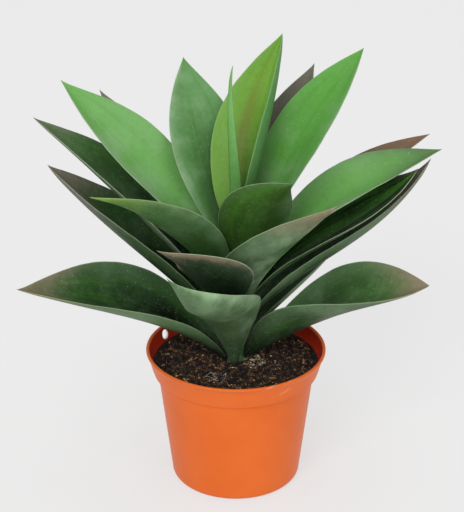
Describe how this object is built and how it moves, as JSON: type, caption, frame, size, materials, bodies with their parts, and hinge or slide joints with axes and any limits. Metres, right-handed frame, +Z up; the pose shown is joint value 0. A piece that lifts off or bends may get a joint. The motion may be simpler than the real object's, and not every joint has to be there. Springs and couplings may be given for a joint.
{
  "type": "potted agave plant",
  "caption": "Rosette of broad pointed fleshy leaves on a short stem, set in dark soil in a tapered plastic nursery pot with a rolled lip and drain holes.",
  "frame": {"origin": "centre of the pot's underside, on the plane it rests on", "axes": "+Z up along the pot's centre line, +X to the right in the picture, -Y towards the camera"},
  "size_m": [0.2955, 0.2078, 0.326],
  "materials": {
    "pot_plastic": "terracotta orange, softly glossy",
    "peat": "dark crumbly peat, matt",
    "stem_green": "matt green",
    "leaf_dark_green": "waxy dark green with a faint blush at the tips",
    "leaf_bright_green": "waxy bright green"
  },
  "bodies": {
    "root": {"pot": "pot_plastic", "soil": "peat", "stem": "stem_green", "leaf_low_front": "leaf_dark_green", "leaf_low_left": "leaf_dark_green", "leaf_low_right": "leaf_dark_green", "leaf_low_behind_left": "leaf_dark_green", "leaf_low_behind_right": "leaf_dark_green", "leaf_mid_front_left": "leaf_dark_green", "leaf_lower_left": "leaf_dark_green", "leaf_lower_right": "leaf_dark_green", "leaf_lower_behind": "leaf_dark_green", "leaf_mid_front_right": "leaf_dark_green", "leaf_behind_left": "leaf_dark_green", "leaf_mid_left": "leaf_dark_green", "leaf_mid_right": "leaf_dark_green", "leaf_mid_behind": "leaf_dark_green", "leaf_behind_right": "leaf_dark_green", "leaf_high_front": "leaf_dark_green", "leaf_high_front_left": "leaf_bright_green", "leaf_high_right": "leaf_bright_green", "leaf_high_left": "leaf_bright_green", "leaf_tall_behind": "leaf_bright_green", "leaf_tall_left": "leaf_bright_green", "leaf_tall_right": "leaf_bright_green", "leaf_tall_centre": "leaf_bright_green", "leaf_heart": "leaf_bright_green"}
  },
  "joints": []
}
